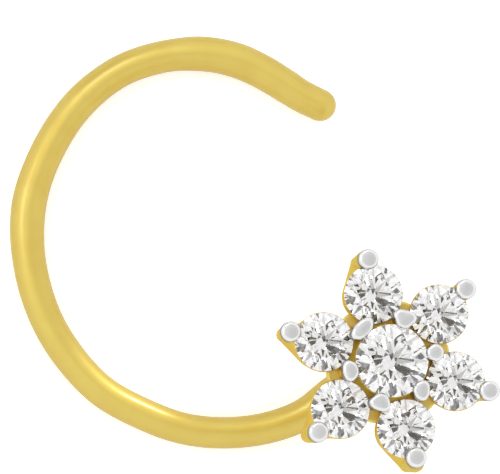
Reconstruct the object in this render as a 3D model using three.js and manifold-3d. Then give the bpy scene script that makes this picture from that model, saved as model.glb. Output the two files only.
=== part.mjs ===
// Nose pin: an open wire hook lying flat, with a post that rises from its end and carries a
// flower head of seven round brilliants. Millimetres, +Z up, origin under the middle of the pin.
// The metal is one casting: petal collets, middle cup, claws, back plate, post and wire hook.
import * as THREE from 'three';
import { ConvexGeometry } from 'three/addons/geometries/ConvexGeometry.js';
import { mergeVertices } from 'three/addons/utils/BufferGeometryUtils.js';
import Module from 'manifold-3d';

const wasm = await Module();
wasm.setup();

// Wire hook
const WIRE_RADIUS = 0.4;            // to the flats of the wire's faceted section
const WIRE_SIDES = 16;
const WIRE_STEPS = 96;
const BEND_RADIUS = 0.8;            // of the centreline, where the hook turns up into the post
// Centreline of the hook round its own centre, from the free end to the foot of the post
const HOOK = [
  { angle: 53.2, radius: 4.335 },
  { angle: 60, radius: 4.265 },
  { angle: 67, radius: 4.315 },
  { angle: 75, radius: 4.44 },
  { angle: 84, radius: 4.605 },
  { angle: 94, radius: 4.74 },
  { angle: 106, radius: 4.845 },
  { angle: 120, radius: 4.925 },
  { angle: 136, radius: 4.9 },
  { angle: 154, radius: 4.83 },
  { angle: 170, radius: 4.815 },
  { angle: 188, radius: 4.74 },
  { angle: 208, radius: 4.705 },
  { angle: 230, radius: 4.715 },
  { angle: 246, radius: 4.675 },
  { angle: 262, radius: 4.73 },
  { angle: 280, radius: 4.773 },
  { angle: 296, radius: 4.805 },
  { angle: 308, radius: 4.717 },
];

// Flower head: heights are measured from the plane of the petal stones' girdles
const GIRDLE_HEIGHT = 6;            // of that plane above the hook's centreline
const PETALS = 6;
const FIRST_PETAL_ANGLE = 43.8;
const PETAL_RING = 1.708;           // radius on which the petal stones sit
const PETAL_STONE = 1.45;           // stone diameters
const CENTER_STONE = 1.8;
const CENTER_RISE = 0.42;           // of the middle stone's girdle
const BACK_HEIGHT = -1.45;          // of the flat back that lies against the skin

// Petal collet: a pointed leaf, round under the stone and narrow under the outer claw
const COLLET_TOP = -0.06;
const RIM_WIDTH = 0.03;             // of the collet's edge that shows round its stone
const COLLET_FOOT = 0.6;            // radius at the back
const TIP_RADIUS = { top: 0.12, back: 0.2 };
const TIP_DRAW_IN = 0.05;           // of the tip, towards the middle, at the back
const LIGHT_HOLE = 0.32;            // radius of the open back under a petal stone

// Web between the petals, and the cup under the middle stone
const WEB_TOP = -0.3;
const WEB_TOP_RADIUS = 1.56;
const WEB_BACK_RADIUS = 1.43;
const CUP_FOOT = { height: -0.5, radius: 0.62 };

// Claws
const OUTER_CLAW = { ring: 2.565, radius: 0.25, foot: 0.18, top: 0.29 };
const INNER_CLAW = { ring: 1.08, radius: 0.25, foot: 0.25, top: 0.62 };
const CLAW_EDGE = 0.09;             // of the rounding round a claw's flat top
const SEAT_GAP = 0.04;              // between a stone and its metal seat

// Round brilliant, as shares of the stone's radius
const CUT = {
  table: 0.57,
  crownAngle: 34.5,
  pavilionAngle: 40.8,
  starLength: 0.5,
  lowerHalfLength: 0.77,
  girdle: 0.06,
};

const GOLD = new THREE.MeshStandardMaterial({ color: 0xe0c468, metalness: 1, roughness: 0.2 });
const DIAMOND = new THREE.MeshStandardMaterial({ color: 0xf2f4f6, metalness: 0, roughness: 0.02 });

const radians = THREE.MathUtils.degToRad;

function onCircle(radius, angle, z) {
  return new THREE.Vector3(radius * Math.cos(angle), radius * Math.sin(angle), z);
}

function circlePoints(center, radius, z, count) {
  return Array.from({ length: count }, (_, i) => {
    return onCircle(radius, (2 * Math.PI * i) / count, z).add(new THREE.Vector3(center, 0, 0));
  });
}

// --- manifold-3d joins and cuts ---

function toSolid(geometry, matrix = new THREE.Matrix4()) {
  const bare = geometry.clone().applyMatrix4(matrix);
  bare.deleteAttribute('normal');
  bare.deleteAttribute('uv');
  const merged = mergeVertices(bare, 1e-5);
  return new wasm.Manifold(new wasm.Mesh({
    numProp: 3,
    vertProperties: new Float32Array(merged.attributes.position.array),
    triVerts: new Uint32Array(merged.index.array),
  }));
}

function join(solids) {
  return solids.reduce((whole, next) => whole.add(next));
}

function toGeometry(solid) {
  const mesh = solid.getMesh();
  const geometry = new THREE.BufferGeometry();
  geometry.setAttribute('position', new THREE.BufferAttribute(mesh.vertProperties, 3));
  geometry.setIndex(new THREE.BufferAttribute(mesh.triVerts, 1));
  const faceted = geometry.toNonIndexed();
  faceted.computeVertexNormals();
  return faceted;
}

// --- stones ---

// A round brilliant, table up, with the middle of its girdle at the origin
function brilliantGeometry(diameter) {
  const radius = diameter / 2;
  const half = (CUT.girdle * radius) / 2;
  const crown = Math.tan(radians(CUT.crownAngle));
  const pavilion = Math.tan(radians(CUT.pavilionAngle));
  const eighth = Math.PI / 4;
  const flat = Math.cos(eighth / 2);
  const tableRadius = CUT.table * radius;
  const tableEdge = tableRadius * flat;
  const starRadius = tableEdge + CUT.starLength * (radius - tableEdge);
  const lowerRadius = (1 - CUT.lowerHalfLength) * radius;
  const points = [new THREE.Vector3(0, 0, -half - radius * pavilion)];
  for (let i = 0; i < 8; i++) {
    const onMain = i * eighth;
    const between = onMain + eighth / 2;
    points.push(
      onCircle(tableRadius, onMain, half + (radius - tableRadius) * crown),
      onCircle(starRadius, between, half + (radius - starRadius * flat) * crown),
      onCircle(lowerRadius, between, -half - (radius - lowerRadius * flat) * pavilion),
    );
    for (const angle of [onMain, between]) {
      points.push(onCircle(radius, angle, half), onCircle(radius, angle, -half));
    }
  }
  return new ConvexGeometry(points);
}

function petalAngle(index) {
  return radians(FIRST_PETAL_ANGLE + (360 / PETALS) * index);
}

const STONES = [
  { name: 'stone_center', diameter: CENTER_STONE, at: new THREE.Vector3(0, 0, CENTER_RISE) },
  ...Array.from({ length: PETALS }, (_, i) => ({
    name: `stone_petal_${i + 1}`,
    diameter: PETAL_STONE,
    at: onCircle(PETAL_RING, petalAngle(i), 0),
  })),
];

// --- flower head, in metal ---

function turned(angle, x = 0) {
  return new THREE.Matrix4().makeRotationZ(angle).multiply(new THREE.Matrix4().makeTranslation(x, 0, 0));
}

// A solid of revolution about Z from [radius, height] pairs that start and end on the axis
function turnedGeometry(profile, sides) {
  const points = profile.map(([r, z]) => new THREE.Vector2(r, z));
  return new THREE.LatheGeometry(points, sides).rotateX(Math.PI / 2);
}

function colletGeometry() {
  const tip = OUTER_CLAW.ring;
  return new ConvexGeometry([
    ...circlePoints(PETAL_RING, PETAL_STONE / 2 + RIM_WIDTH, COLLET_TOP, 32),
    ...circlePoints(tip, TIP_RADIUS.top, COLLET_TOP, 16),
    ...circlePoints(PETAL_RING, COLLET_FOOT, BACK_HEIGHT, 32),
    ...circlePoints(tip - TIP_DRAW_IN, TIP_RADIUS.back, BACK_HEIGHT, 16),
  ]);
}

function clawGeometry({ radius, foot, top }) {
  const edge = CLAW_EDGE;
  return turnedGeometry([
    [0, BACK_HEIGHT],
    [foot, BACK_HEIGHT],
    [radius, top - edge],
    [radius - 0.3 * edge, top - 0.3 * edge],
    [radius - edge, top],
    [0, top],
  ], 16);
}

function cupGeometry() {
  const rim = CENTER_RISE + COLLET_TOP;
  return turnedGeometry([
    [0, CUP_FOOT.height],
    [CUP_FOOT.radius, CUP_FOOT.height],
    [CENTER_STONE / 2 + RIM_WIDTH, rim],
    [0, rim],
  ], 32);
}

function webGeometry() {
  return turnedGeometry([
    [0, BACK_HEIGHT],
    [WEB_BACK_RADIUS, BACK_HEIGHT],
    [WEB_TOP_RADIUS, WEB_TOP],
    [0, WEB_TOP],
  ], 36);
}

function lightHoleGeometry() {
  const height = COLLET_TOP - BACK_HEIGHT + 1;
  return new THREE.CylinderGeometry(LIGHT_HOLE, LIGHT_HOLE, height, 16)
    .rotateX(Math.PI / 2)
    .translate(0, 0, BACK_HEIGHT);
}

function flowerSolid() {
  const half = Math.PI / PETALS;
  const parts = [toSolid(webGeometry()), toSolid(cupGeometry())];
  const cuts = STONES.map(({ diameter, at }) => {
    const place = new THREE.Matrix4().makeTranslation(at.x, at.y, at.z);
    return toSolid(brilliantGeometry(diameter + 2 * SEAT_GAP), place);
  });
  for (let i = 0; i < PETALS; i++) {
    parts.push(
      toSolid(colletGeometry(), turned(petalAngle(i))),
      toSolid(clawGeometry(OUTER_CLAW), turned(petalAngle(i), OUTER_CLAW.ring)),
      toSolid(clawGeometry(INNER_CLAW), turned(petalAngle(i) + half, INNER_CLAW.ring)),
    );
    cuts.push(toSolid(lightHoleGeometry(), turned(petalAngle(i), PETAL_RING)));
  }
  return join(parts).subtract(join(cuts));
}

// --- wire hook and post ---

function hookCurve() {
  return new THREE.CatmullRomCurve3(HOOK.map(({ angle, radius }) => {
    return onCircle(radius, radians(angle), WIRE_RADIUS);
  }));
}

// A quarter turn from the hook's end up to the foot of the post
function bendCurve(start, along) {
  const reach = 0.5523 * BEND_RADIUS;
  const foot = start.clone().addScaledVector(along, BEND_RADIUS).setZ(start.z + BEND_RADIUS);
  return new THREE.CubicBezierCurve3(
    start,
    start.clone().addScaledVector(along, reach),
    foot.clone().setZ(foot.z - reach),
    foot,
  );
}

// The wire's section has flats above, below and at its sides, so the hook lies flat
function wireSection() {
  const corner = WIRE_RADIUS / Math.cos(Math.PI / WIRE_SIDES);
  const step = (2 * Math.PI) / WIRE_SIDES;
  return new THREE.Shape(Array.from({ length: WIRE_SIDES }, (_, i) => {
    const angle = (i + 0.5) * step;
    return new THREE.Vector2(corner * Math.cos(angle), corner * Math.sin(angle));
  }));
}

function wireSolid(hook, bend) {
  const foot = bend.v3;
  const post = new THREE.LineCurve3(foot, foot.clone().setZ(flowerZ + BACK_HEIGHT + 0.1));
  const path = new THREE.CurvePath();
  path.curves.push(hook, bend, post);
  return toSolid(new THREE.ExtrudeGeometry(wireSection(), { steps: WIRE_STEPS, extrudePath: path }));
}

function freeEndSolid(hook) {
  const corner = WIRE_RADIUS / Math.cos(Math.PI / WIRE_SIDES);
  const up = new THREE.Vector3(0, 0, 1);
  const outward = hook.getTangent(0).negate();
  const arc = Array.from({ length: 7 }, (_, i) => {
    const angle = (i * Math.PI) / 12;
    return new THREE.Vector2(Math.max(0, corner * Math.cos(angle)), corner * Math.sin(angle));
  });
  arc[6].x = 0;
  const profile = [new THREE.Vector2(0, -0.1), new THREE.Vector2(corner, -0.1), ...arc];
  const cap = new THREE.LatheGeometry(profile, WIRE_SIDES, Math.PI / WIRE_SIDES);
  const place = new THREE.Matrix4()
    .makeBasis(outward.clone().cross(up), outward, up)
    .setPosition(hook.getPoint(0));
  return toSolid(cap, place);
}

const hook = hookCurve();
const bend = bendCurve(hook.getPoint(1), hook.getTangent(1).setZ(0).normalize());
const flowerZ = WIRE_RADIUS + GIRDLE_HEIGHT;
const flowerPlace = new THREE.Vector3(bend.v3.x, bend.v3.y, flowerZ);

const metal = join([
  wireSolid(hook, bend),
  freeEndSolid(hook),
  flowerSolid().translate(flowerPlace.toArray()),
]);

const group = new THREE.Group();

const setting = new THREE.Mesh(toGeometry(metal), GOLD);
setting.name = 'setting_and_wire';
group.add(setting);

const flower = new THREE.Group();
flower.position.copy(flowerPlace);
for (const { name, diameter, at } of STONES) {
  const stone = new THREE.Mesh(brilliantGeometry(diameter), DIAMOND);
  stone.name = name;
  stone.position.copy(at);
  flower.add(stone);
}
group.add(flower);

// The origin moves under the middle of the whole pin, on the surface that it lies on
const box = new THREE.Box3().setFromObject(group);
const middle = box.getCenter(new THREE.Vector3());
group.position.set(-middle.x, -middle.y, -box.min.z);

export default group;
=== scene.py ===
"""Nose pin: a yellow gold wire hook with a flower head of claw-set round brilliants.

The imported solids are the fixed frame. Each operator models one group of the pin's pieces in
metres, where the solids say, and the last one sets up the light table, the light and the camera.
"""

import math

import bmesh
import bpy
from mathutils import Matrix, Vector


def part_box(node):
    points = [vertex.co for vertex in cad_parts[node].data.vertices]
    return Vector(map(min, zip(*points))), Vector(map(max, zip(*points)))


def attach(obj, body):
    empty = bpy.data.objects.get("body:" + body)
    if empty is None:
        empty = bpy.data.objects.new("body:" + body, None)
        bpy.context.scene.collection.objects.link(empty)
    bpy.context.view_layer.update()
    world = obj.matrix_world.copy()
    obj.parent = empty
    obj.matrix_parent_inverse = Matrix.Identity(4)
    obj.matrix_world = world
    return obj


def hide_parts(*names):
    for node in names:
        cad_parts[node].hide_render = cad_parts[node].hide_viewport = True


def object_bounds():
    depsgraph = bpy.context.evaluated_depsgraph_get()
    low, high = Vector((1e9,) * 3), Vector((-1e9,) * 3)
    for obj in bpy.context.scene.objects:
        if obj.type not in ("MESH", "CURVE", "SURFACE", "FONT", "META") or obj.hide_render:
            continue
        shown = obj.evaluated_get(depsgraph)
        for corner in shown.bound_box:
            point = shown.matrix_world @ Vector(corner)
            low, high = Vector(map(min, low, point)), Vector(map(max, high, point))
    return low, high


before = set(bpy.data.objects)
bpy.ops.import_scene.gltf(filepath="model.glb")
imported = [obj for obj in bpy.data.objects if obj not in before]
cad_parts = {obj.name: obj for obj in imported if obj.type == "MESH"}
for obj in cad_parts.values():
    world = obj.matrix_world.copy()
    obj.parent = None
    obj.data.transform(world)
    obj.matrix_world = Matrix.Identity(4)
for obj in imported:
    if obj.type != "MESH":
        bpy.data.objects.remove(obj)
CAD_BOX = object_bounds()

bl_info = {
    "name": "Nose pin",
    "version": (1, 0, 0),
    "blender": (4, 5, 0),
    "location": "View3D > Sidebar > Nose pin",
    "description": "Models a flower nose pin: wire hook, collets, claws and brilliants",
    "category": "Add Mesh",
}

MM = 0.001
SETTING = "setting_and_wire"
PETALS = 6

PAVILION_ANGLE = 40.8  # of a round brilliant, in degrees
GIRDLE = 0.06  # its thickness, as a share of the stone's radius


def stone_seat(node):
    """A stone's radius, and the middle of its girdle."""
    low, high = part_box(node)
    radius = (high.x - low.x) / 2
    depth = radius * (GIRDLE / 2 + math.tan(math.radians(PAVILION_ANGLE)))
    return radius, Vector(((low.x + high.x) / 2, (low.y + high.y) / 2, low.z + depth))


MIDDLE_STONE, MIDDLE = stone_seat("stone_center")  # on the flower's axis, which is the post's too
PETAL_STONE, PETAL = stone_seat("stone_petal_1")


def linear(hex_colour):
    """An sRGB hex colour as linear RGBA."""
    channels = [int(hex_colour[i : i + 2], 16) / 255 for i in (1, 3, 5)]
    return [c / 12.92 if c <= 0.04045 else ((c + 0.055) / 1.055) ** 2.4 for c in channels] + [1.0]


def length(name, default_mm, description):
    return bpy.props.FloatProperty(
        name=name, description=description, default=default_mm * MM, unit="LENGTH", precision=5
    )


def share(name, default, description):
    return bpy.props.FloatProperty(
        name=name, description=description, default=default, min=0.0, max=1.0, subtype="FACTOR"
    )


def angle(name, default_degrees, description):
    return bpy.props.FloatProperty(
        name=name, description=description, default=math.radians(default_degrees), unit="ROTATION"
    )


def colour(name, hex_colour, description):
    return bpy.props.FloatVectorProperty(
        name=name,
        description=description,
        default=linear(hex_colour),
        size=4,
        min=0.0,
        max=1.0,
        subtype="COLOR",
    )


# ---------------------------------------------------------------- sizes and colours


class HookSizes(bpy.types.PropertyGroup):
    """The wire hook and the post."""

    wire_radius: length("Wire radius", 0.4, "Half the wire's thickness")
    bend_radius: length("Bend radius", 0.8, "Of the turn from the hook up into the post")


class FlowerSizes(bpy.types.PropertyGroup):
    """The flower head's metal. Heights are from the plane of the petal stones' girdles."""

    back: length("Back", -1.45, "Height of the flat back that lies against the skin")
    petal_ring: length("Petal ring", 1.708, "Radius on which the petal stones sit")
    first_petal: angle("First petal", 43.8, "Direction of the first petal")
    collet_top: length("Collet top", -0.06, "Height of a collet's rim")
    rim: length("Rim", 0.018, "Width of the collet's edge that shows round its stone")
    collet_foot: length("Collet foot", 0.6, "Radius of a collet at the back")
    tip_top: length("Tip at the top", 0.12, "Rounding of a petal's pointed end, at its rim")
    tip_back: length("Tip at the back", 0.2, "Rounding of a petal's pointed end, at the back")
    tip_draw_in: length("Tip draw-in", 0.05, "How far the tip runs in at the back")
    rim_draw_in: length("Rim draw-in", 0.14, "How far the tip runs in at the rim, under its claw")
    light_hole: length("Light hole", 0.32, "Radius of the open back under a petal stone")
    web_top: length("Web top", -0.3, "Height of the web between the petals")
    web_radius: length("Web radius", 1.56, "Reach of the web between two petals")
    web_foot: length("Web foot", 1.43, "Reach of the web at the back")
    web_waist: length("Web waist", 1.22, "Reach of the web behind each petal's collet")
    cup_foot: length("Cup foot", -0.6, "Height of the underside of the middle stone's cup")
    claw_ring: length("Outer claw ring", 2.565, "Radius on which the outer claws stand")
    claw_radius: length("Claw radius", 0.25, "Half the thickness of a claw's head")
    claw_foot: length("Outer claw foot", 0.18, "Half an outer claw's thickness at the back")
    claw_top: length("Outer claw top", 0.29, "Height of the outer claws")
    inner_ring: length("Inner claw ring", 1.08, "Radius on which the inner claws stand")
    inner_top: length("Inner claw top", 0.62, "Height of the inner claws")


class StoneCut(bpy.types.PropertyGroup):
    """Proportions of a round brilliant."""

    table: share("Table", 0.57, "Table's width as a share of the stone's")
    crown_angle: angle("Crown angle", 34.5, "Slope of the crown's main facets")
    pavilion_angle: angle("Pavilion angle", PAVILION_ANGLE, "Slope of the pavilion's main facets")
    star: share("Star length", 0.5, "Star facets' share of the crown's slope")
    lower_half: share("Lower half length", 0.77, "Lower halves' share of the pavilion's slope")
    girdle: share("Girdle", GIRDLE, "Girdle's thickness as a share of the stone's radius")


class PinColours(bpy.types.PropertyGroup):
    """Finishes."""

    gold: colour("Gold", "#E8D268", "Polished yellow gold")
    gold_deep: colour("Deep gold", "#E1C45A", "Yellow gold where the polish is thinner")
    cast: colour("Cast gold", "#ECD87E", "Gold of the cast flower")
    cast_deep: colour("Deep cast gold", "#E6C96A", "Gold of the cast flower in its streaks")
    # painted light: the web's gold is paler than the cast gold, to lighten the shade in the hollows
    # between the petals
    hollow: colour("Hollow gold", "#F8E690", "Gold of the web between the petals")
    hollow_deep: colour("Deep hollow gold", "#F2DA7C", "Gold of the web in its streaks")
    rhodium: colour("Rhodium", "#F6F6F6", "White rhodium plating on the claw tops")
    diamond: colour("Diamond", "#FFFFFF", "Colourless brilliants")
    floor: colour("Light table", "#F4F4F4", "White acrylic of the light table")


# ---------------------------------------------------------------- where things are


# Centreline of the hook round its own centre, from the free end to the foot of the post, and half
# the wire's width there: bending by hand has flattened it a little
HOOK = [
    {"angle": 53.2, "radius": 4.335, "half_width": 0.4},
    {"angle": 60, "radius": 4.265, "half_width": 0.405},
    {"angle": 67, "radius": 4.315, "half_width": 0.418},
    {"angle": 75, "radius": 4.44, "half_width": 0.43},
    {"angle": 84, "radius": 4.605, "half_width": 0.44},
    {"angle": 94, "radius": 4.74, "half_width": 0.437},
    {"angle": 106, "radius": 4.845, "half_width": 0.402},
    {"angle": 120, "radius": 4.925, "half_width": 0.4},
    {"angle": 136, "radius": 4.9, "half_width": 0.412},
    {"angle": 154, "radius": 4.83, "half_width": 0.42},
    {"angle": 170, "radius": 4.815, "half_width": 0.435},
    {"angle": 188, "radius": 4.74, "half_width": 0.415},
    {"angle": 208, "radius": 4.705, "half_width": 0.405},
    {"angle": 230, "radius": 4.715, "half_width": 0.4},
    {"angle": 246, "radius": 4.675, "half_width": 0.4},
    {"angle": 262, "radius": 4.73, "half_width": 0.395},
    {"angle": 280, "radius": 4.773, "half_width": 0.395},
    {"angle": 296, "radius": 4.805, "half_width": 0.4},
    {"angle": 308, "radius": 4.717, "half_width": 0.4},
]

HOOK_STEPS = 14  # sections of wire from one row to the next
BEND_STEPS = 16  # sections of wire round the quarter bend into the post
END_STEPS = 9  # rings of the rounded free end
WIRE_SIDES = 40
POST_OVERLAP = 0.1 * MM  # how far the post runs up into the flower's back

CAMERA_TILT = math.radians(8)  # between the flower's axis and the line of sight
CAMERA_LEAN = math.radians(23)  # of the flower's axis, from the camera's right towards its up


def camera_axes():
    """The camera's right, up and back, as seen with the flower's axis leaning right and up."""
    lean = math.sin(CAMERA_TILT)
    right = Vector((0, 0, lean * math.cos(CAMERA_LEAN)))
    right.x = math.sqrt(1 - right.z**2)
    up = Vector((0, 0, lean * math.sin(CAMERA_LEAN)))
    up.x = -right.z * up.z / right.x
    up.y = math.sqrt(1 - up.x**2 - up.z**2)
    return right, up, right.cross(up)


def polar(radius, direction, height=0.0):
    return Vector((radius * math.cos(direction), radius * math.sin(direction), height))


def petal_turn(index, half=False):
    """Turns about the flower's axis to a petal, or to the gap after it."""
    step = 2 * math.pi / PETALS
    first = bpy.context.scene.pin_flower.first_petal
    place = Matrix.Translation((MIDDLE.x, MIDDLE.y, PETAL.z))
    return place @ Matrix.Rotation(first + (index + half / 2) * step, 4, "Z")


# ---------------------------------------------------------------- mesh helpers


MERGE_DISTANCE = 0.0005 * MM


def new_piece(name, bm, material, slot, *nodes, smooth_degrees=None):
    """Turns a bmesh into a finished piece that rides on the pin and stands for CAD nodes."""
    bmesh.ops.remove_doubles(bm, verts=bm.verts, dist=MERGE_DISTANCE)
    bmesh.ops.recalc_face_normals(bm, faces=bm.faces)
    mesh = bpy.data.meshes.new(name)
    bm.to_mesh(mesh)
    bm.free()
    piece = bpy.data.objects.new(name, mesh)
    bpy.context.scene.collection.objects.link(piece)
    mesh.materials.append(material)
    if smooth_degrees:
        mesh.shade_smooth()
        mesh.set_sharp_from_angle(angle=math.radians(smooth_degrees))
    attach(piece, "root")
    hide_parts(*nodes)
    return piece


def ring(bm, points):
    """A closed loop of edges through points, shaped from a circle."""
    made = bmesh.ops.create_circle(bm, cap_ends=False, segments=len(points), radius=MM)["verts"]
    for vert, point in zip(made, points):
        vert.co = point
    return list({edge for vert in made for edge in vert.link_edges})


def loft(bm, rings, close_ends=True):
    """Bridges one loop of edges to the next; ends are capped, or joined to each other."""
    for low, high in zip(rings, rings[1:]):
        bmesh.ops.bridge_loops(bm, edges=low + high)
    if close_ends:
        for end in (rings[0], rings[-1]):
            bmesh.ops.holes_fill(bm, edges=end)
    else:
        bmesh.ops.bridge_loops(bm, edges=rings[-1] + rings[0])


def turn_profile(bm, profile, matrix, sides=48):
    """Spins (radius, height) pairs round the axis of matrix; both ends are on that axis."""
    before = set(bm.verts)
    verts = [bm.verts.new((radius, 0, height)) for radius, height in profile]
    edges = [bm.edges.new(pair) for pair in zip(verts, verts[1:])]
    bmesh.ops.spin(
        bm,
        geom=verts + edges,
        cent=(0, 0, 0),
        axis=(0, 0, 1),
        angle=2 * math.pi,
        steps=sides,
        use_merge=True,
    )
    made = [vert for vert in bm.verts if vert not in before]
    bmesh.ops.transform(bm, matrix=matrix, verts=made)
    return made


# ---------------------------------------------------------------- materials


SURFACE_WAVE = 0.7 * MM  # length of the soft waves that casting and buffing leave in gold
BURNISHING_GAP = 0.15 * MM  # from one burnishing mark on a claw to the next
TABLE_GLOW = 0.45  # light that the light table gives off


def add_node(tree, kind, values=None, links=None, **settings):
    """Adds a node, sets its inputs and properties, and links sockets into its inputs."""
    node = tree.nodes.new(kind)
    for key, value in settings.items():
        setattr(node, key, value)
    for key, value in (values or {}).items():
        node.inputs[key].default_value = value
    for key, socket in (links or {}).items():
        tree.links.new(socket, node.inputs[key])
    return node


def new_material(name):
    material = bpy.data.materials.new(name)
    material.use_nodes = True
    material.node_tree.nodes.clear()
    return material, material.node_tree


def finish_surface(tree, shader):
    add_node(tree, "ShaderNodeOutputMaterial", links={"Surface": shader.outputs[0]})


def yellow_gold(name, light, deep, polish):
    """18 carat yellow gold with faint waves in it, under a bright top layer of the weight polish."""
    material, tree = new_material(name)
    place = add_node(tree, "ShaderNodeTexCoord").outputs["Object"]
    waves = add_node(
        tree,
        "ShaderNodeTexNoise",
        values={"Scale": 1 / SURFACE_WAVE, "Detail": 2.0, "Roughness": 0.45},
        links={"Vector": place},
    )
    tone = add_node(
        tree,
        "ShaderNodeMix",
        values={"A": light, "B": deep},
        links={0: waves.outputs["Fac"]},
        data_type="RGBA",
    )
    gloss = add_node(
        tree,
        "ShaderNodeMapRange",
        values={"To Min": 0.48, "To Max": 0.56},
        links={"Value": waves.outputs["Fac"]},
    )
    bump = add_node(
        tree,
        "ShaderNodeBump",
        values={"Strength": 0.25, "Distance": 0.01 * MM},
        links={"Height": waves.outputs["Fac"]},
    )
    shader = add_node(
        tree,
        "ShaderNodeBsdfPrincipled",
        values={
            "Metallic": 1.0,
            "Specular Tint": linear("#F0D890"),
            "Coat Weight": polish,
            "Coat Roughness": 0.2,
        },
        links={
            "Base Color": tone.outputs["Result"],
            "Roughness": gloss.outputs["Result"],
            "Normal": bump.outputs["Normal"],
        },
    )
    finish_surface(tree, shader)
    return material


def polished_yellow_gold():
    """Wire polished by hand: a soft gold body with narrow bright lines along it."""
    colours = bpy.context.scene.pin_colours
    return yellow_gold("polished_yellow_gold", colours.gold, colours.gold_deep, 1.0)


def cast_yellow_gold():
    """Cast gold that the wheel doesn't reach: satin, and deep yellow even at a low angle."""
    colours = bpy.context.scene.pin_colours
    return yellow_gold("cast_yellow_gold", colours.cast, colours.cast_deep, 0.0)


def web_gold_painted_light():
    """Gold of the web, painted pale: a lighter gold stands in for light in the shaded hollows between
    the petals.
    """
    colours = bpy.context.scene.pin_colours
    return yellow_gold("web_gold_painted_light", colours.hollow, colours.hollow_deep, 0.0)


def rhodium_plate():
    """White rhodium pen-plated on the claws: soft, bright tops, and painted shade on the sides from a
    grey edge tint.
    """
    colours = bpy.context.scene.pin_colours
    material, tree = new_material("rhodium_plate")
    place = add_node(tree, "ShaderNodeTexCoord").outputs["Object"]
    # the plating is thin and follows the burnishing marks under it
    marks = add_node(
        tree,
        "ShaderNodeTexNoise",
        values={"Scale": 1 / BURNISHING_GAP, "Detail": 3.0},
        links={"Vector": place},
    )
    gloss = add_node(
        tree,
        "ShaderNodeMapRange",
        values={"To Min": 0.18, "To Max": 0.3},
        links={"Value": marks.outputs["Fac"]},
    )
    bump = add_node(
        tree,
        "ShaderNodeBump",
        values={"Strength": 0.3, "Distance": 0.006 * MM},
        links={"Height": marks.outputs["Fac"]},
    )
    shader = add_node(
        tree,
        "ShaderNodeBsdfPrincipled",
        values={
            "Metallic": 1.0,
            "Base Color": colours.rhodium,
            # painted shade: a grey edge tint darkens a claw's sides, seen at a low angle, against its
            # top
            "Specular Tint": linear("#989898"),
        },
        links={"Roughness": gloss.outputs["Result"], "Normal": bump.outputs["Normal"]},
    )
    finish_surface(tree, shader)
    return material


def brilliant_diamond():
    """Colourless diamond with polished facets: clear, and bright from what it mirrors inside."""
    material, tree = new_material("brilliant_diamond")
    shader = add_node(
        tree,
        "ShaderNodeBsdfPrincipled",
        values={
            "Base Color": bpy.context.scene.pin_colours.diamond,
            "Roughness": 0.0,
            "IOR": 2.417,
            "Transmission Weight": 1.0,
        },
    )
    finish_surface(tree, shader)
    return material


def light_table_acrylic():
    """White acrylic lit from below: shadows on it are faint."""
    colours = bpy.context.scene.pin_colours
    material, tree = new_material("light_table_acrylic")
    # a black card under the pin keeps the table's own light off the gold
    glow = add_node(
        tree,
        "ShaderNodeMapRange",
        values={"To Min": TABLE_GLOW, "To Max": 0.0},
        links={"Value": add_node(tree, "ShaderNodeLightPath").outputs["Is Glossy Ray"]},
    )
    shader = add_node(
        tree,
        "ShaderNodeBsdfPrincipled",
        values={
            "Base Color": colours.floor,
            "Roughness": 0.9,
            "Emission Color": colours.floor,
        },
        links={"Emission Strength": glow.outputs["Result"]},
    )
    finish_surface(tree, shader)
    return material


def shared_material(make):
    """The material that a function makes, made once and shared by every piece."""
    return bpy.data.materials.get(make.__name__) or make()


# ---------------------------------------------------------------- wire hook and post


def catmull_rom(points, steps):
    """A smooth curve through points, with centripetal knots."""
    extended = [2 * points[0] - points[1], *points, 2 * points[-1] - points[-2]]
    curve = []
    for p0, p1, p2, p3 in zip(extended, extended[1:], extended[2:], extended[3:]):
        d1, d2, d3 = ((b - a).length ** 0.5 for a, b in ((p0, p1), (p1, p2), (p2, p3)))
        m1 = d2 * ((p1 - p0) / d1 - (p2 - p0) / (d1 + d2) + (p2 - p1) / d2)
        m2 = d2 * ((p2 - p1) / d2 - (p3 - p1) / (d2 + d3) + (p3 - p2) / d3)
        for i in range(steps):
            t = i / steps
            curve.append(
                (2 * t**3 - 3 * t**2 + 1) * p1
                + (t**3 - 2 * t**2 + t) * m1
                + (3 * t**2 - 2 * t**3) * p2
                + (t**3 - t**2) * m2
            )
    return curve + [points[-1]]


def hook_route(sizes):
    """The wire's centreline: the hook, the quarter bend, then the post up into the flower."""
    rows = [polar(row["radius"] * MM, math.radians(row["angle"])) for row in HOOK]
    flat = catmull_rom(rows, HOOK_STEPS)
    along = (rows[-1] - rows[-2]).normalized()
    foot = flat[-1] + along * sizes.bend_radius
    shift = Vector((MIDDLE.x - foot.x, MIDDLE.y - foot.y, CAD_BOX[0].z + sizes.wire_radius))
    route = [point + shift for point in flat]
    start = route[-1]
    for i in range(1, BEND_STEPS + 1):
        turn = i * math.pi / (2 * BEND_STEPS)
        rise = Vector((0, 0, sizes.bend_radius * (1 - math.cos(turn))))
        route.append(start + along * sizes.bend_radius * math.sin(turn) + rise)
    inside = PETAL.z + bpy.context.scene.pin_flower.back + POST_OVERLAP
    route.append(Vector((MIDDLE.x, MIDDLE.y, inside)))
    return route


def half_widths(count):
    """Half the wire's width at each of the route's points."""
    widths = []
    for row, after in zip(HOOK, HOOK[1:]):
        for i in range(HOOK_STEPS):
            turn = (1 - math.cos(math.pi * i / HOOK_STEPS)) / 2
            widths.append(row["half_width"] + turn * (after["half_width"] - row["half_width"]))
    return widths + [HOOK[-1]["half_width"]] * (count - len(widths))


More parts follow.
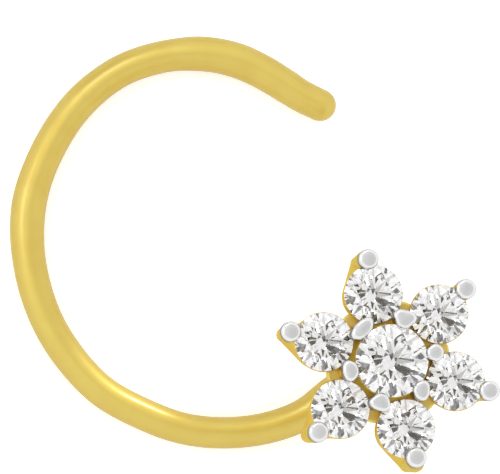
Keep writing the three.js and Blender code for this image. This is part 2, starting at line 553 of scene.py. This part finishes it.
def section_frames(route):
    """A matrix for each point of the route, turning without twist; Z looks along the route."""
    tangents = [(b - a).normalized() for a, b in zip(route, route[1:])]
    tangents.append(tangents[-1])
    turn = tangents[0].to_track_quat("Z", "Y")
    frames = []
    for i, point in enumerate(route):
        if i:
            middle = (tangents[i - 1] + tangents[i]).normalized()
            turn = (turn @ Vector((0, 0, 1))).rotation_difference(middle) @ turn
        frames.append(Matrix.Translation(point) @ turn.to_matrix().to_4x4())
    return frames


class PIN_OT_hook(bpy.types.Operator):
    """Sweep the wire along the hook, round its bend and up the post"""

    bl_idname = "nose_pin.hook"
    bl_label = "Wire hook and post"

    def execute(self, context):
        sizes = context.scene.pin_hook
        frames = section_frames(hook_route(sizes))
        for i, half_width in enumerate(half_widths(len(frames))):
            frames[i] @= Matrix.Scale(half_width * MM / sizes.wire_radius, 4, (1, 0, 0))
        free_end = []
        for i in range(END_STEPS):
            rise = (END_STEPS - i) * math.pi / (2 * (END_STEPS + 1))
            place = frames[0] @ Matrix.Translation((0, 0, -sizes.wire_radius * math.sin(rise)))
            free_end.append(place @ Matrix.Scale(math.cos(rise), 4))
        bm = bmesh.new()
        places = free_end + frames
        bmesh.ops.create_circle(
            bm, segments=WIRE_SIDES, radius=sizes.wire_radius, matrix=places[0]
        )
        rim = list(bm.edges)
        bmesh.ops.holes_fill(bm, edges=rim)
        for before, after in zip(places, places[1:]):
            made = bmesh.ops.extrude_edge_only(bm, edges=rim)["geom"]
            moved = [item for item in made if isinstance(item, bmesh.types.BMVert)]
            rim = [item for item in made if isinstance(item, bmesh.types.BMEdge)]
            bmesh.ops.transform(bm, matrix=after @ before.inverted(), verts=moved)
        bmesh.ops.holes_fill(bm, edges=rim)
        gold = shared_material(polished_yellow_gold)
        new_piece("wire_hook_and_post", bm, gold, "yellow_gold", SETTING, smooth_degrees=40)
        return {"FINISHED"}


# ---------------------------------------------------------------- petal collets


LEAF_SIDES = 96
SEAT_LIP = 0.01 * MM  # how far a seat's edge runs in under its stone


def leaf_reach(direction, round_radius, tip_radius, tip_distance):
    """Reach, from the stone's axis, of a leaf that is round under the stone and narrow at its tip."""
    off = abs((direction + math.pi) % (2 * math.pi) - math.pi)
    lean = math.acos((round_radius - tip_radius) / tip_distance)
    tangent = math.atan2(
        tip_radius * math.sin(lean), tip_distance + tip_radius * math.cos(lean)
    )
    if off >= lean:
        return round_radius
    if off >= tangent:
        return round_radius / math.cos(off - lean)
    across = tip_distance * math.sin(off)
    return tip_distance * math.cos(off) + math.sqrt(tip_radius**2 - across**2)


def leaf_ring(bm, height, round_radius, tip_radius, tip_distance, place):
    """A loop of edges in a petal's leaf shape."""
    points = []
    for i in range(LEAF_SIDES):
        direction = 2 * math.pi * i / LEAF_SIDES
        reach = leaf_reach(direction, round_radius, tip_radius, tip_distance)
        points.append(place @ polar(reach, direction, height))
    return ring(bm, points)


def circle_ring(bm, height, radius, place, sides=LEAF_SIDES):
    return ring(bm, [place @ polar(radius, 2 * math.pi * i / sides, height) for i in range(sides)])


class PIN_OT_collets(bpy.types.Operator):
    """Model the pointed petal collets, each with its seat and its open back"""

    bl_idname = "nose_pin.collets"
    bl_label = "Petal collets"

    def execute(self, context):
        flower = context.scene.pin_flower
        cut = context.scene.pin_cut
        edge = 0.03 * MM  # height of the bevel at the rim and at the back
        edge_inset = 0.4 * edge  # the rim's bevel is steep
        rim_round = PETAL_STONE + flower.rim
        tip = flower.claw_ring - flower.petal_ring
        seat = PETAL_STONE - SEAT_LIP
        seat_top = flower.collet_top + SEAT_LIP
        seat_foot = seat_top - (seat - flower.light_hole) * math.tan(cut.pavilion_angle)
        foot_round, foot_tip = flower.collet_foot, flower.tip_back
        top_tip = flower.tip_top
        leaves = [
            {"height": flower.back, "round": foot_round - edge, "end": foot_tip - edge},
            {"height": flower.back + edge, "round": foot_round, "end": foot_tip},
            {"height": flower.collet_top - edge, "round": rim_round, "end": top_tip},
            {"height": flower.collet_top, "round": rim_round - edge_inset, "end": top_tip - edge},
        ]
        holes = [(seat_top, seat), (seat_foot, flower.light_hole), (flower.back, flower.light_hole)]
        bm = bmesh.new()
        for i in range(PETALS):
            place = petal_turn(i) @ Matrix.Translation((flower.petal_ring, 0, 0))
            rings = []
            for leaf in leaves:
                at_back = leaf["height"] < flower.web_top
                reach_out = tip - (flower.tip_draw_in if at_back else flower.rim_draw_in)
                rings.append(
                    leaf_ring(bm, leaf["height"], leaf["round"], leaf["end"], reach_out, place)
                )
            rings += [circle_ring(bm, height, radius, place) for height, radius in holes]
            loft(bm, rings, close_ends=False)
        gold = shared_material(cast_yellow_gold)
        new_piece("petal_collets", bm, gold, "yellow_gold", SETTING, smooth_degrees=35)
        return {"FINISHED"}


# ---------------------------------------------------------------- web and middle cup


class PIN_OT_web(bpy.types.Operator):
    """Model the web that joins the petals and the cup under the middle stone"""

    bl_idname = "nose_pin.web"
    bl_label = "Web and middle cup"

    def execute(self, context):
        flower = context.scene.pin_flower
        place = petal_turn(0)
        edge = 0.05 * MM
        pit = 0.55 * MM  # radius of the hollow that the cup stands in
        bm = bmesh.new()

        def outline(reach, waist, height, sides=144):
            """Six lobes that fill the gaps between the petals."""
            middle, swing = (reach + waist) / 2, (waist - reach) / 2
            points = []
            for i in range(sides):
                direction = 2 * math.pi * i / sides
                radius = middle + swing * math.cos(PETALS * direction)
                points.append(place @ polar(radius, direction, height))
            return ring(bm, points)

        waist = flower.web_waist
        rings = [
            outline(flower.web_foot, waist, flower.back),
            outline(flower.web_radius, waist, flower.web_top - edge),
            outline(flower.web_radius - edge, waist - edge, flower.web_top),
            circle_ring(bm, flower.web_top - edge, pit, place, sides=144),
            circle_ring(bm, flower.cup_foot, pit, place, sides=144),
        ]
        loft(bm, rings)

        rim = MIDDLE.z - PETAL.z + flower.collet_top
        seat_slope = math.tan(context.scene.pin_cut.pavilion_angle)
        seat = MIDDLE_STONE - SEAT_LIP
        cup_base = 0.6 * MM  # radius of the cup's foot, whose edge is sunk in the web
        bevel_height, bevel_width = 0.03 * MM, 0.012 * MM
        culet_well = 0.13 * MM  # radius of the well under the stone's point
        well_floor = flower.cup_foot + 0.05 * MM
        wall = [
            (0.0, flower.cup_foot),
            (cup_base, flower.cup_foot),
            (MIDDLE_STONE + flower.rim, rim - bevel_height),
            (MIDDLE_STONE + flower.rim - bevel_width, rim),
            (seat, rim),
            (culet_well, rim - (seat - culet_well) * seat_slope - SEAT_LIP),
            (culet_well, well_floor),
            (0.0, well_floor),
        ]
        turn_profile(bm, wall, place, sides=96)
        # painted light: the web's paler gold lightens its shaded hollows between the petals
        gold = shared_material(web_gold_painted_light)
        new_piece("web_and_cup", bm, gold, "yellow_gold", SETTING, smooth_degrees=35)
        return {"FINISHED"}


# ---------------------------------------------------------------- claws


# Heads of the claws, and how far each is off its even place. Swing is about the flower's axis in
# degrees, and out is away from that axis in mm.

# The inner ones, one in each gap between petals, are pressed over three stones and each has its
# own shape; their stems go with them. Turn is about the claw's own axis, in degrees. Along and
# across stretch the round head, and lobe makes it three-cornered.
INNER_HEADS = [
    {"swing": 0, "out": 0, "turn": 2, "along": 1.15, "across": 0.95, "lobe": 0.1},
    {"swing": 0, "out": 0, "turn": 2, "along": 1.38, "across": 0.8, "lobe": 0.02},
    {"swing": 0, "out": 0, "turn": -4, "along": 1.08, "across": 0.82, "lobe": 0.04},
    {"swing": 0, "out": 0, "turn": -2, "along": 1.08, "across": 0.9, "lobe": 0.08},
    {"swing": 1, "out": -0.05, "turn": 40, "along": 1.04, "across": 0.85, "lobe": 0.05},
    {"swing": -3, "out": 0, "turn": 0, "along": 0.88, "across": 0.88, "lobe": 0.02},
]

# The outer ones, one at each petal's tip, are bent over by small amounts on straight stems
OUTER_HEADS = [
    {"swing": 0, "out": 0.03},
    {"swing": -1.35, "out": 0.02},
    {"swing": 0.15, "out": 0.025},
    {"swing": 0.55, "out": -0.045},
    {"swing": 1.15, "out": -0.105},
    {"swing": 0, "out": 0},
]

SHOULDER = 0.34  # rounding of a head, as a share of its radius
SHOULDER_STEPS = 6
OUTER_SPREAD = 1.02  # an outer head's radius, as a share of its stem's at the top
OUTER_HEAD_FOOT = -0.02 * MM
INNER_SLIMNESS = 0.8  # an inner stem's radius, as a share of its head's
INNER_STEM_ROOT = 0.1 * MM  # depth of an inner stem in the web
INNER_STEM_TOP = 0.2 * MM
INNER_HEAD_FOOT = 0.14 * MM


def claw_head(radius, foot, top):
    """Half a section of a claw's head: straight sides, a rounded shoulder and a flat top."""
    shoulder = SHOULDER * radius
    profile = [(0.0, foot), (radius, foot), (radius, top - shoulder)]
    for i in range(1, SHOULDER_STEPS + 1):
        turn = i * math.pi / (2 * SHOULDER_STEPS)
        inward = shoulder * (1 - math.cos(turn))
        profile.append((radius - inward, top - shoulder * (1 - math.sin(turn))))
    return profile + [(0.0, top)]


def head_place(petal, head, ring_radius):
    """Where a claw's head stands, in the direction of its petal or gap."""
    swing = Matrix.Rotation(math.radians(head["swing"]), 4, "Z")
    return petal @ swing @ Matrix.Translation((ring_radius + head["out"] * MM, 0, 0))


def outer_claw(stems, heads, flower, petal, head):
    """A claw at a petal's tip: a stem that widens upwards, and a round head."""
    radius = flower.claw_radius
    stem = [(0.0, flower.back), (flower.claw_foot, flower.back), (radius, 0.0), (0.0, 0.0)]
    turn_profile(stems, stem, petal @ Matrix.Translation((flower.claw_ring, 0, 0)))
    profile = claw_head(radius * OUTER_SPREAD, OUTER_HEAD_FOOT, flower.claw_top)
    turn_profile(heads, profile, head_place(petal, head, flower.claw_ring))


def inner_claw(stems, heads, flower, gap, head):
    """A claw in the gap between two petals: a straight stem, and a head pressed out of round."""
    place = head_place(gap, head, flower.inner_ring)
    slim = INNER_SLIMNESS * flower.claw_radius
    root = flower.web_top - INNER_STEM_ROOT
    stem = [(0.0, root), (slim, root), (slim, INNER_STEM_TOP), (0.0, INNER_STEM_TOP)]
    turn_profile(stems, stem, place)
    profile = claw_head(flower.claw_radius, INNER_HEAD_FOOT, flower.inner_top)
    made = turn_profile(heads, profile, Matrix.Identity(4))
    for vert in made:
        toward = math.atan2(vert.co.y, vert.co.x)
        lobes = 1 + head["lobe"] * math.cos(3 * (toward - math.pi))
        vert.co.x *= lobes * head["across"]
        vert.co.y *= lobes * head["along"]
    turn = Matrix.Rotation(math.radians(head["turn"]), 4, "Z")
    bmesh.ops.transform(heads, matrix=place @ turn, verts=made)


class PIN_OT_claws(bpy.types.Operator):
    """Model the claws: gold stems and white plated heads pressed over the stones"""

    bl_idname = "nose_pin.claws"
    bl_label = "Claws"

    def execute(self, context):
        flower = context.scene.pin_flower
        stems, heads = bmesh.new(), bmesh.new()
        for i in range(PETALS):
            outer_claw(stems, heads, flower, petal_turn(i), OUTER_HEADS[i])
            inner_claw(stems, heads, flower, petal_turn(i, half=True), INNER_HEADS[i])
        gold = shared_material(cast_yellow_gold)
        white = shared_material(rhodium_plate)
        new_piece("claw_stems", stems, gold, "yellow_gold", SETTING, smooth_degrees=35)
        new_piece("claw_heads", heads, white, "rhodium", SETTING, smooth_degrees=50)
        return {"FINISHED"}


# ---------------------------------------------------------------- stones


GIRDLE_SIDES = 64
CUT_TOLERANCE = 0.00001 * MM


def brilliant_planes(cut, radius):
    """Three points on each facet of a round brilliant whose girdle's middle is at the origin."""
    half = cut.girdle * radius / 2
    crown = math.tan(cut.crown_angle)
    pavilion = math.tan(cut.pavilion_angle)
    eighth = math.pi / 4
    flat = math.cos(eighth / 2)
    table = cut.table * radius
    table_top = half + (radius - table) * crown
    star = table * flat + cut.star * (radius - table * flat)
    star_height = half + (radius - star * flat) * crown
    lower = (1 - cut.lower_half) * radius
    lower_height = -half - (radius - lower * flat) * pavilion
    culet = Vector((0, 0, -half - radius * pavilion))
    yield [polar(table, i * eighth, table_top) for i in range(3)]
    for i in range(8):
        main, side = i * eighth, (i + 0.5) * eighth
        table_corner = polar(table, main, table_top)
        next_corner = polar(table, main + eighth, table_top)
        star_tip = polar(star, side, star_height)
        last_tip = polar(star, side - eighth, star_height)
        lower_tip = polar(lower, side, lower_height)
        last_lower = polar(lower, side - eighth, lower_height)
        yield [table_corner, next_corner, star_tip]
        yield [table_corner, star_tip, last_tip]
        yield [culet, lower_tip, last_lower]
        for edge in (main, side):
            yield [star_tip, polar(radius, edge, half), polar(radius, edge + eighth / 2, half)]
            yield [lower_tip, polar(radius, edge, -half), polar(radius, edge + eighth / 2, -half)]


class PIN_OT_stones(bpy.types.Operator):
    """Cut the round brilliants, facet by facet, where their seats are"""

    bl_idname = "nose_pin.stones"
    bl_label = "Brilliants"

    def execute(self, context):
        cut = context.scene.pin_cut
        diamond = shared_material(brilliant_diamond)
        for node in [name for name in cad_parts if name.startswith("stone")]:
            radius, place = stone_seat(node)
            bm = bmesh.new()
            # a blank taller than the stone, which the facets' planes then cut down
            bmesh.ops.create_cone(
                bm,
                cap_ends=True,
                segments=GIRDLE_SIDES,
                radius1=radius,
                radius2=radius,
                depth=3 * radius,
            )
            for a, b, c in brilliant_planes(cut, radius):
                normal = (b - a).cross(c - a).normalized()
                if normal.dot(a) < 0:
                    normal = -normal
                made = bmesh.ops.bisect_plane(
                    bm,
                    geom=bm.verts[:] + bm.edges[:] + bm.faces[:],
                    plane_co=a,
                    plane_no=normal,
                    dist=CUT_TOLERANCE,
                    clear_outer=True,
                )
                edges = [item for item in made["geom_cut"] if isinstance(item, bmesh.types.BMEdge)]
                bmesh.ops.holes_fill(bm, edges=edges)
            bmesh.ops.translate(bm, vec=place, verts=bm.verts)
            new_piece(f"{node}_brilliant", bm, diamond, "diamond", node)
        return {"FINISHED"}


# ---------------------------------------------------------------- stage


# The room as the pin sees it. A card's turn is anticlockwise from the camera's right, and off is
# its angle from the direction of the camera. A card is full inside its reach and fades out over its
# fade, all in degrees. One with less than no light is a black card, which darkens the room there.
ROOM_LIGHT = 0.93
SOFTBOXES = [
    {"turn": 104, "off": 43, "reach": 4, "fade": 8, "light": 3.6},
    {"turn": 158, "off": 37, "reach": 5, "fade": 9, "light": 2.7},
    {"turn": 131, "off": 34, "reach": 4, "fade": 6, "light": -1.6},
    {"turn": 112, "off": 72, "reach": 9, "fade": 8, "light": -0.8},
    {"turn": 15, "off": 18, "reach": 8, "fade": 5, "light": -0.42},  # what flat claw tops mirror
]
# Light that only the inside of a stone meets: a little duller, with a black flag and dark dapples
# that give the facets their contrast
STONE_LIGHT = 0.1
FLAGS = [
    {"turn": 298, "off": 18, "reach": 10, "fade": 1, "light": -1.2},
]
DAPPLE_SCALE = 11.0
DAPPLE_SHARE = 0.395  # below this the noise is dark
DAPPLE_EDGE = 0.03  # width of a dapple's soft edge, in the same measure
DAPPLE_LIGHT = -1.25
LEAST_LIGHT = 0.02  # of the world, where cards and dapples pile up

# A lamp low over the ring, which picks out the inside of the hook's lower left. Turn and off are
# as a card's. It points at the spot at lit_turn and lit_radius, in mm, from the hook's middle.
SNOOT = {
    "turn": 57,
    "off": 71.5,
    "distance": 0.25,
    "watts": 0.6,
    "source_radius": 0.0006,
    "beam": 0.75,
    "lit_turn": 236,
    "lit_radius": 4.5,
}

TABLE_HALF_WIDTH = 0.3
CAMERA_LENS = 1440  # long and far away, so near and far parts keep their size
CAMERA_SENSOR = 36
CAMERA_DISTANCE = 0.5
CAMERA_CLIP = 0.01
AIM = Vector((0.832 * MM, 0.156 * MM, 0))  # the camera's, from the hook's middle
BOUNCES = {"max_bounces": 24, "glossy_bounces": 16, "transmission_bounces": 24}


def card_direction(turn, off, axes):
    """The direction of a card, from its turn and off angles in degrees."""
    right, up, back = axes
    turn, off = math.radians(turn), math.radians(off)
    across = right * math.cos(turn) + up * math.sin(turn)
    return across * math.sin(off) + back * math.cos(off)


def cards_light(tree, cards, start, axes):
    """Adds up the light of cards, as seen in each direction, on top of an even start."""
    direction = add_node(tree, "ShaderNodeTexCoord").outputs["Generated"]
    total = add_node(tree, "ShaderNodeValue").outputs[0]
    total.default_value = start
    for card in cards:
        nearness = add_node(
            tree,
            "ShaderNodeVectorMath",
            values={1: card_direction(card["turn"], card["off"], axes)},
            links={0: direction},
            operation="DOT_PRODUCT",
        )
        light = add_node(
            tree,
            "ShaderNodeMapRange",
            values={
                "From Min": math.cos(math.radians(card["reach"] + card["fade"])),
                "From Max": math.cos(math.radians(card["reach"])),
                "To Max": card["light"],
            },
            links={"Value": nearness.outputs["Value"]},
            interpolation_type="SMOOTHSTEP",
        )
        add = add_node(tree, "ShaderNodeMath", links={0: total, 1: light.outputs["Result"]})
        total = add.outputs[0]
    return total


def studio_world(axes):
    """An even white room with softboxes, and with black flags for the stones alone."""
    world = bpy.data.worlds.new("studio_world")
    bpy.context.scene.world = world
    world.use_nodes = True
    tree = world.node_tree
    tree.nodes.clear()
    room = cards_light(tree, SOFTBOXES, ROOM_LIGHT, axes)
    for_stones = cards_light(tree, FLAGS, STONE_LIGHT, axes)
    dapples = add_node(
        tree,
        "ShaderNodeTexNoise",
        values={"Scale": DAPPLE_SCALE, "Detail": 1.0},
        links={"Vector": add_node(tree, "ShaderNodeTexCoord").outputs["Generated"]},
    )
    shade = add_node(
        tree,
        "ShaderNodeMapRange",
        values={
            "From Min": DAPPLE_SHARE,
            "From Max": DAPPLE_SHARE + DAPPLE_EDGE,
            "To Min": DAPPLE_LIGHT,
            "To Max": 0.0,
        },
        links={"Value": dapples.outputs["Fac"]},
    )
    for_stones = add_node(
        tree, "ShaderNodeMath", links={0: for_stones, 1: shade.outputs["Result"]}
    ).outputs[0]
    path = add_node(tree, "ShaderNodeLightPath")
    inside = add_node(
        tree,
        "ShaderNodeMath",
        values={1: 0.5},
        links={0: path.outputs["Transmission Depth"]},
        operation="GREATER_THAN",
    )
    light = add_node(
        tree,
        "ShaderNodeMath",
        links={0: for_stones, 1: inside.outputs[0], 2: room},
        operation="MULTIPLY_ADD",
    )
    seen = add_node(
        tree,
        "ShaderNodeMath",
        values={1: LEAST_LIGHT},
        links={0: light.outputs[0]},
        operation="MAXIMUM",
    )
    background = add_node(
        tree,
        "ShaderNodeBackground",
        values={"Color": (1, 1, 1, 1)},
        links={"Strength": seen.outputs[0]},
    )
    add_node(tree, "ShaderNodeOutputWorld", links={"Surface": background.outputs[0]})


def hook_middle():
    """The hook's own centre, at the height of its wire."""
    route = hook_route(bpy.context.scene.pin_hook)
    first = polar(HOOK[0]["radius"] * MM, math.radians(HOOK[0]["angle"]))
    return route[0] - first


def light_table():
    """The table's flat top, where the pin lies."""
    bm = bmesh.new()
    bmesh.ops.create_grid(bm, x_segments=1, y_segments=1, size=TABLE_HALF_WIDTH)
    bmesh.ops.translate(bm, vec=(0, 0, CAD_BOX[0].z), verts=bm.verts)
    mesh = bpy.data.meshes.new("light_table")
    bm.to_mesh(mesh)
    bm.free()
    mesh.materials.append(light_table_acrylic())
    floor = bpy.data.objects.new("light_table", mesh)
    bpy.context.scene.collection.objects.link(floor)


def snoot_lamp(axes):
    """A narrow lamp turned to one stretch of the hook."""
    right, up, back = axes
    snoot = bpy.data.lights.new("snoot", "SPOT")
    snoot.energy = SNOOT["watts"]
    snoot.shadow_soft_size = SNOOT["source_radius"]
    snoot.spot_size = math.radians(SNOOT["beam"])
    snoot.spot_blend = 1.0
    lamp = bpy.data.objects.new("snoot", snoot)
    side = math.radians(SNOOT["lit_turn"])
    across = right * math.cos(side) + up * math.sin(side)
    lit = hook_middle() + SNOOT["lit_radius"] * MM * across
    toward = card_direction(SNOOT["turn"], SNOOT["off"], axes)
    lamp.location = lit + toward * SNOOT["distance"]
    lamp.rotation_mode = "QUATERNION"
    lamp.rotation_quaternion = toward.to_track_quat("Z", "Y")
    bpy.context.scene.collection.objects.link(lamp)


def pin_camera(axes):
    """The camera, almost straight above the pin."""
    back = axes[2]
    camera = bpy.data.cameras.new("camera")
    camera.lens = CAMERA_LENS
    camera.sensor_width = CAMERA_SENSOR
    camera.clip_start = CAMERA_CLIP
    eye = bpy.data.objects.new("camera", camera)
    turn = Matrix(axes).transposed().to_4x4()
    eye.matrix_world = Matrix.Translation(hook_middle() + AIM + back * CAMERA_DISTANCE) @ turn
    bpy.context.scene.collection.objects.link(eye)
    bpy.context.scene.camera = eye


class PIN_OT_stage(bpy.types.Operator):
    """Set up the light table, the white room, the narrow lamp and the camera"""

    bl_idname = "nose_pin.stage"
    bl_label = "Light table, light and camera"

    def execute(self, context):
        axes = camera_axes()
        light_table()
        studio_world(axes)
        snoot_lamp(axes)
        pin_camera(axes)
        context.scene.view_settings.view_transform = "Standard"
        for name, bounces in BOUNCES.items():
            setattr(context.scene.cycles, name, bounces)
        return {"FINISHED"}


class PIN_PT_sidebar(bpy.types.Panel):
    """Lists the pin's pieces, sizes and colours"""

    bl_idname = "PIN_PT_sidebar"
    bl_label = "Nose pin"
    bl_space_type = "VIEW_3D"
    bl_region_type = "UI"
    bl_category = "Nose pin"

    def draw(self, context):
        for operator in PIECES:
            self.layout.operator(operator.bl_idname)
        for name, group in GROUPS.items():
            box = self.layout.box()
            for key in group.__annotations__:
                box.prop(getattr(context.scene, name), key)


PIECES = [PIN_OT_hook, PIN_OT_collets, PIN_OT_web, PIN_OT_claws, PIN_OT_stones, PIN_OT_stage]
GROUPS = {
    "pin_hook": HookSizes,
    "pin_flower": FlowerSizes,
    "pin_cut": StoneCut,
    "pin_colours": PinColours,
}


def register():
    for cls in [*GROUPS.values(), *PIECES, PIN_PT_sidebar]:
        bpy.utils.register_class(cls)
    for name, group in GROUPS.items():
        setattr(bpy.types.Scene, name, bpy.props.PointerProperty(type=group))


def unregister():
    for name in GROUPS:
        delattr(bpy.types.Scene, name)
    for cls in reversed([*GROUPS.values(), *PIECES, PIN_PT_sidebar]):
        bpy.utils.unregister_class(cls)


def main():
    register()
    bpy.ops.nose_pin.hook()
    bpy.ops.nose_pin.collets()
    bpy.ops.nose_pin.web()
    bpy.ops.nose_pin.claws()
    bpy.ops.nose_pin.stones()
    bpy.ops.nose_pin.stage()
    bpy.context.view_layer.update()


if __name__ == "__main__":
    main()
